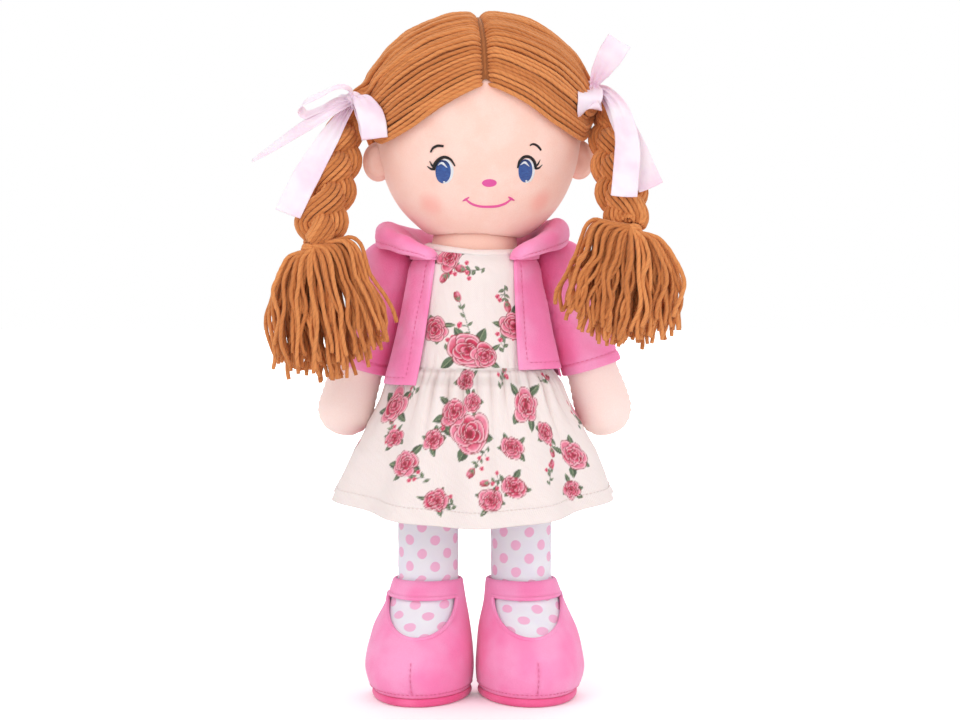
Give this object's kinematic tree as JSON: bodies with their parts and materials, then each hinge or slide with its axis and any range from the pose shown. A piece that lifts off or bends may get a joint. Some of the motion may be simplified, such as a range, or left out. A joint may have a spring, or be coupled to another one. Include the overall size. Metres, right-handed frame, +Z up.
{
  "type": "rag doll",
  "caption": "Stuffed cloth doll with yarn hair in plaits, a jacket, a gathered dress and bar shoes; head, arms, legs and plaits move.",
  "frame": {"origin": "middle of the doll's outline on the plane that the soles stand on", "axes": "+Z up, the face looks along -Y, +X runs to the viewer's right; left and right in names are the viewer's"},
  "size_m": [0.2478, 0.1338, 0.4009],
  "materials": {
    "skin": "pale skin-coloured polyester fabric, brushed and matt, with a sprayed blush on the cheeks",
    "velour": "hot pink velour with a short pile and a soft sheen",
    "sole_cloth": "deeper pink brushed fabric",
    "yarn": "ginger-brown acrylic yarn, about 2.5 mm thick, plied",
    "satin": "pale pink single-faced satin ribbon, 15 mm wide",
    "dress_cloth": "cream cotton with a rose and leaf print",
    "tights": "white knitted fabric with pink dots",
    "iris_thread": "blue embroidery thread",
    "black_thread": "black embroidery thread",
    "pink_thread": "pink embroidery thread"
  },
  "bodies": {
    "torso": {"torso": "skin", "dress_bodice": "dress_cloth", "dress_skirt": "dress_cloth", "dress_neck_binding": "dress_cloth", "jacket_back": "velour", "jacket_front_left": "velour", "jacket_front_right": "velour", "jacket_collar": "velour"},
    "neck": {"neck": "skin"},
    "head": {"head": "skin", "ear_left": "skin", "ear_right": "skin", "iris_left": "iris_thread", "iris_right": "iris_thread", "lid_left": "black_thread", "lid_right": "black_thread", "brow_left": "black_thread", "brow_right": "black_thread", "nose": "pink_thread", "mouth": "pink_thread", "hair_left": "yarn", "hair_right": "yarn", "parting_seam": "yarn"},
    "arm_tab_left": {"arm_tab_left": "skin"},
    "arm_left": {"arm_left": "skin", "sleeve_left": "velour"},
    "leg_left": {"leg_left": "tights", "shoe_left": "velour", "sole_left": "sole_cloth"},
    "braid_left": {"braid_left_a": "yarn", "braid_left_b": "yarn", "braid_left_c": "yarn", "braid_wrap_left": "yarn", "tassel_left": "yarn", "ribbon_left": "satin"},
    "arm_tab_right": {"arm_tab_right": "skin"},
    "arm_right": {"arm_right": "skin", "sleeve_right": "velour"},
    "leg_right": {"leg_right": "tights", "shoe_right": "velour", "sole_right": "sole_cloth"},
    "braid_right": {"braid_right_a": "yarn", "braid_right_b": "yarn", "braid_right_c": "yarn", "braid_wrap_right": "yarn", "tassel_right": "yarn", "ribbon_right": "satin"}
  },
  "joints": [
    {"name": "head_turn", "type": "hinge", "parent": "torso", "child": "neck", "pos_m": [0.00455, 0.00229, 0.2628], "axis": [0, 0, 1], "range_deg": [-10, 10]},
    {"name": "head_nod", "type": "hinge", "parent": "neck", "child": "head", "pos_m": [0.00455, 0.00229, 0.2628], "axis": [0.9962, 0.0872, 0], "range_deg": [-12, 10]},
    {"name": "shoulder_swing_left", "type": "hinge", "parent": "torso", "child": "arm_tab_left", "pos_m": [-0.04645, 0.01329, 0.251], "axis": [1, 0, 0], "range_deg": [-10, 75]},
    {"name": "arm_raise_left", "type": "hinge", "parent": "arm_tab_left", "child": "arm_left", "pos_m": [-0.04645, 0.01329, 0.251], "axis": [0, 1, 0], "range_deg": [0, 75]},
    {"name": "shoulder_swing_right", "type": "hinge", "parent": "torso", "child": "arm_tab_right", "pos_m": [0.05555, 0.01329, 0.251], "axis": [1, 0, 0], "range_deg": [-10, 75]},
    {"name": "arm_raise_right", "type": "hinge", "parent": "arm_tab_right", "child": "arm_right", "pos_m": [0.05555, 0.01329, 0.251], "axis": [0, -1, 0], "range_deg": [0, 75]},
    {"name": "hip_left", "type": "hinge", "parent": "torso", "child": "leg_left", "pos_m": [-0.02275, 0.00229, 0.146], "axis": [-1, 0, 0], "range_deg": [0, 90], "deforming": ["dress_skirt"]},
    {"name": "hip_right", "type": "hinge", "parent": "torso", "child": "leg_right", "pos_m": [0.03185, 0.00229, 0.146], "axis": [-1, 0, 0], "range_deg": [0, 90]},
    {"name": "braid_swing_left", "type": "hinge", "parent": "head", "child": "braid_left", "pos_m": [-0.06678, -0.00395, 0.34905], "axis": [0, 1, 0], "range_deg": [0, 25]},
    {"name": "braid_swing_right", "type": "hinge", "parent": "head", "child": "braid_right", "pos_m": [0.08005, 0.0089, 0.3506], "axis": [0, -1, 0], "range_deg": [0, 25]}
  ],
  "couplings": [
    {"joint": "hip_right", "follows": "hip_left", "ratio": 1}
  ]
}
